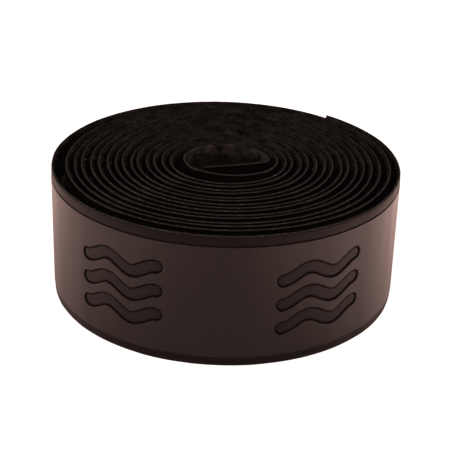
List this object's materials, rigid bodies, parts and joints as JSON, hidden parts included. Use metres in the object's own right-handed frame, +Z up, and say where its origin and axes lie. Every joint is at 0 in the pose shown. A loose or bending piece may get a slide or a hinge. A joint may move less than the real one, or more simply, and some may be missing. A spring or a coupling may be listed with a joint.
{
  "type": "grip tape roll",
  "caption": "Cushioned self-adhesive grip strip wound flat around an open core; the outer tail peels off and the inner end crosses the core as a flap.",
  "frame": {"origin": "under the middle of the roll's box, on the plane that the roll rests on", "axes": "+Z up along the winding's axis, across the strip's width; +X to the side where the flap leaves the core wall; the roll grows anticlockwise seen from +Z"},
  "size_m": [0.0652, 0.0646, 0.025],
  "materials": {
    "skin": "satin",
    "cushion": "matt",
    "adhesive": "gloss",
    "liner": "satin"
  },
  "bodies": {
    "roll": {"skin_roll": "skin", "cushion_roll": "cushion", "adhesive_roll": "adhesive", "liner_roll": "liner"},
    "tail_1": {"skin_tail_1": "skin", "cushion_tail_1": "cushion", "adhesive_tail_1": "adhesive", "liner_tail_1": "liner"},
    "tail_2": {"skin_tail_2": "skin", "cushion_tail_2": "cushion", "adhesive_tail_2": "adhesive", "liner_tail_2": "liner"},
    "tail_3": {"skin_tail_3": "skin", "cushion_tail_3": "cushion", "adhesive_tail_3": "adhesive", "liner_tail_3": "liner"},
    "tail_4": {"skin_tail_4": "skin", "cushion_tail_4": "cushion", "adhesive_tail_4": "adhesive", "liner_tail_4": "liner"},
    "tail_5": {"skin_tail_5": "skin", "cushion_tail_5": "cushion", "adhesive_tail_5": "adhesive", "liner_tail_5": "liner"},
    "tail_6": {"skin_tail_6": "skin", "cushion_tail_6": "cushion", "adhesive_tail_6": "adhesive", "liner_tail_6": "liner"},
    "flap_1": {"skin_flap_1": "skin", "cushion_flap_1": "cushion", "adhesive_flap_1": "adhesive", "liner_flap_1": "liner"},
    "flap_2": {"skin_flap_2": "skin", "cushion_flap_2": "cushion", "adhesive_flap_2": "adhesive", "liner_flap_2": "liner"},
    "flap_3": {"skin_flap_3": "skin", "cushion_flap_3": "cushion", "adhesive_flap_3": "adhesive"},
    "tab": {"liner_tab": "liner"}
  },
  "joints": [
    {"name": "tail_peel", "type": "hinge", "parent": "roll", "child": "tail_1", "pos_m": [0.02315, -0.02261, 0.0125], "axis": [0, 0, -1], "range_deg": [0, 16], "stiffness_Nm_per_rad": 0.0005},
    {"name": "tail_uncurl_2", "type": "hinge", "parent": "tail_1", "child": "tail_2", "pos_m": [0.02861, -0.01531, 0.0125], "axis": [0, 0, -1], "range_deg": [0, 16]},
    {"name": "tail_uncurl_3", "type": "hinge", "parent": "tail_2", "child": "tail_3", "pos_m": [0.03185, -0.00679, 0.0125], "axis": [0, 0, -1], "range_deg": [0, 16]},
    {"name": "tail_uncurl_4", "type": "hinge", "parent": "tail_3", "child": "tail_4", "pos_m": [0.03263, 0.00228, 0.0125], "axis": [0, 0, -1], "range_deg": [0, 16]},
    {"name": "tail_uncurl_5", "type": "hinge", "parent": "tail_4", "child": "tail_5", "pos_m": [0.0309, 0.01122, 0.0125], "axis": [0, 0, -1], "range_deg": [0, 16]},
    {"name": "tail_uncurl_6", "type": "hinge", "parent": "tail_5", "child": "tail_6", "pos_m": [0.02679, 0.01935, 0.0125], "axis": [0, 0, -1], "range_deg": [0, 16]},
    {"name": "flap_swing", "type": "hinge", "parent": "roll", "child": "flap_1", "pos_m": [0.00842, 0.00057, 0.0125], "axis": [0, 0, 1], "range_deg": [0, 32], "stiffness_Nm_per_rad": 0.0002},
    {"name": "flap_bend_2", "type": "hinge", "parent": "flap_1", "child": "flap_2", "pos_m": [0.00393, 0.00056, 0.0125], "axis": [0, 0, -1], "range_deg": [0, 28.8]},
    {"name": "flap_bend_3", "type": "hinge", "parent": "flap_2", "child": "flap_3", "pos_m": [-0.00022, -0.00063, 0.0125], "axis": [0, 0, -1], "range_deg": [0, 38.4]},
    {"name": "tab_peel", "type": "hinge", "parent": "flap_3", "child": "tab", "pos_m": [-0.00026, -0.00069, 0.0125], "axis": [0, 0, -1], "range_deg": [0, 60]}
  ],
  "couplings": [
    {"joint": "tail_uncurl_2", "follows": "tail_peel", "ratio": 1},
    {"joint": "tail_uncurl_3", "follows": "tail_peel", "ratio": 1},
    {"joint": "tail_uncurl_4", "follows": "tail_peel", "ratio": 1},
    {"joint": "tail_uncurl_5", "follows": "tail_peel", "ratio": 1},
    {"joint": "tail_uncurl_6", "follows": "tail_peel", "ratio": 1},
    {"joint": "flap_bend_2", "follows": "flap_swing", "ratio": 0.9},
    {"joint": "flap_bend_3", "follows": "flap_swing", "ratio": 1.2}
  ]
}
